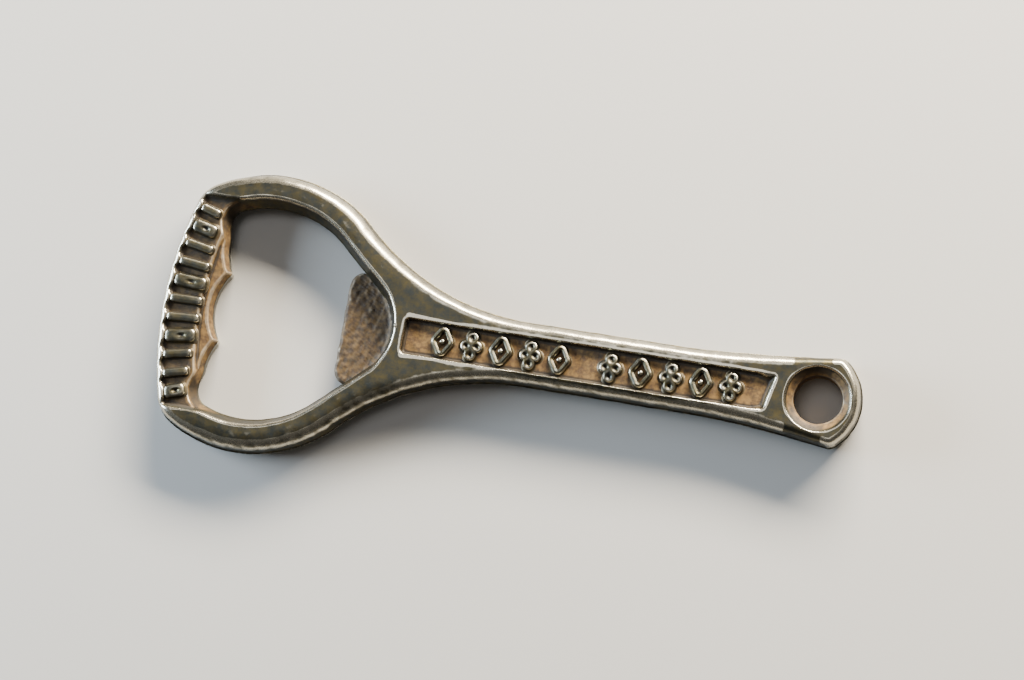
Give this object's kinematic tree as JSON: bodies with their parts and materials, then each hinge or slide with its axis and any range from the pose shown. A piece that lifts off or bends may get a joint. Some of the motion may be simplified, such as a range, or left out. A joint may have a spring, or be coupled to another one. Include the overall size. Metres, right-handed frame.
{
  "type": "bottle opener",
  "caption": "Cast hand bottle opener: an open loop with a lifting lip and cap teeth, a handle with a recessed ornamented panel, and a hanging eye at its end.",
  "frame": {"origin": "under the middle of the overall length, on the surface that the back face lies on", "axes": "+X along the handle towards the hanging eye, +Y across the loop, +Z out of the front face"},
  "size_m": [0.12, 0.0482, 0.0062],
  "materials": {
    "worn_casting": "cast iron with worn nickel plate, bright on the edges and brown in the hollows",
    "bright_relief": "raised ornament with its plate rubbed bright",
    "rusty_lip": "rough bare cast iron with brown rust"
  },
  "bodies": {
    "root": {"crossbar": "worn_casting", "crossbar_ribs": "bright_relief", "cap_tooth_left": "worn_casting", "cap_tooth_right": "worn_casting", "loop_arm_left": "worn_casting", "loop_arm_right": "worn_casting", "throat": "worn_casting", "lifting_lip": "rusty_lip", "handle_shank": "worn_casting", "panel_lozenges": "bright_relief", "panel_rosettes": "bright_relief", "hanging_eye": "worn_casting"}
  },
  "joints": []
}
